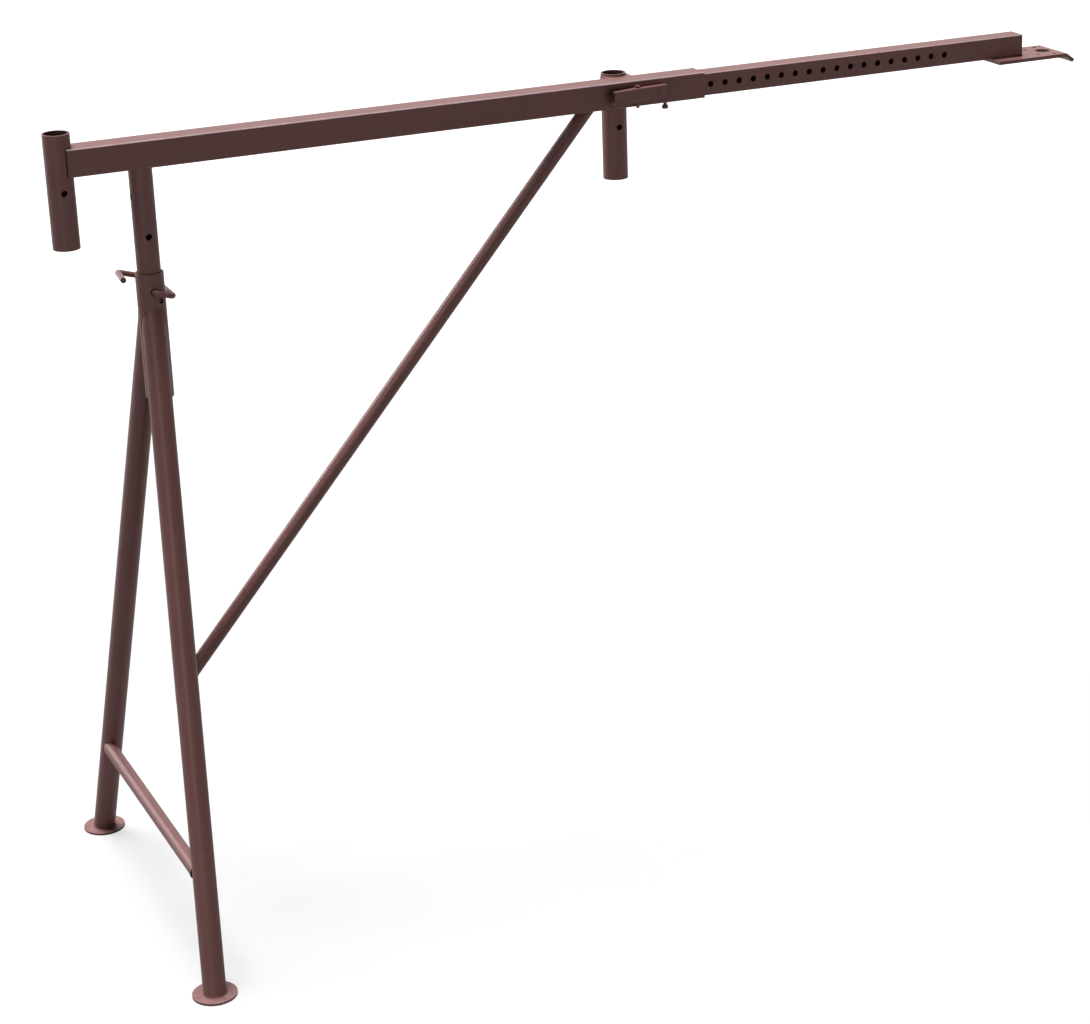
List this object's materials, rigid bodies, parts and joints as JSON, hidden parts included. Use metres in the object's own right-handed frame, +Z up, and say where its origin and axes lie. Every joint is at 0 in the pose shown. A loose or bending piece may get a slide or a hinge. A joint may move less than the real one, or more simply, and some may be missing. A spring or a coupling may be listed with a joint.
{
  "type": "builders trestle",
  "caption": "Height-adjustable scaffold trestle with splayed tubular legs, a diagonal brace, a telescopic square beam with a sprung latch, guard-post sockets and a wall plate.",
  "frame": {"origin": "on the floor, at the middle of the part's box", "axes": "+X along the beam towards the wall plate, +Y to the rear, away from the latch, +Z up"},
  "size_m": [2.1038, 0.8224, 1.521],
  "materials": {
    "paint": "dark red-brown satin enamel",
    "steel": "dull plain steel"
  },
  "bodies": {
    "leg_frame": {"sleeve": "paint", "front_leg": "paint", "rear_leg": "paint", "front_foot": "paint", "rear_foot": "paint", "tie_bar": "paint"},
    "beam_frame": {"outer_beam": "paint", "mast": "paint", "brace": "paint", "end_socket": "paint", "middle_socket": "paint", "left_gusset": "paint", "right_gusset": "paint", "upper_lug": "paint", "lower_lug": "paint", "pivot_pin": "steel", "pivot_clip": "steel", "clamp_nut": "paint", "latch_spring": "steel"},
    "extension": {"inner_beam": "paint", "wall_plate": "paint"},
    "latch": {"latch_channel": "paint", "lock_pin": "steel"},
    "pin": {"locking_pin": "paint"},
    "screw": {"clamp_screw": "steel"}
  },
  "joints": [
    {"name": "height_slide", "type": "slide", "parent": "leg_frame", "child": "beam_frame", "axis": [0, 0, 1], "range_m": [-0.1, 0.5]},
    {"name": "beam_slide", "type": "slide", "parent": "beam_frame", "child": "extension", "axis": [1, 0, 0], "range_m": [-0.4635, 0.0927]},
    {"name": "latch_rock", "type": "hinge", "parent": "beam_frame", "child": "latch", "pos_m": [0.07127, -0.034, 1.47], "axis": [0, 0, -1], "range_deg": [0, 7.5], "stiffness_Nm_per_rad": 1, "springref_deg": -10, "deforming": ["latch_spring"]},
    {"name": "pin_pull", "type": "slide", "parent": "leg_frame", "child": "pin", "axis": [0, -1, 0], "range_m": [0, 0.0515]},
    {"name": "clamp_turn", "type": "hinge", "parent": "beam_frame", "child": "screw", "pos_m": [0.14527, 0, 1.44], "axis": [0, 0, 1], "range_deg": [0, 720]}
  ]
}
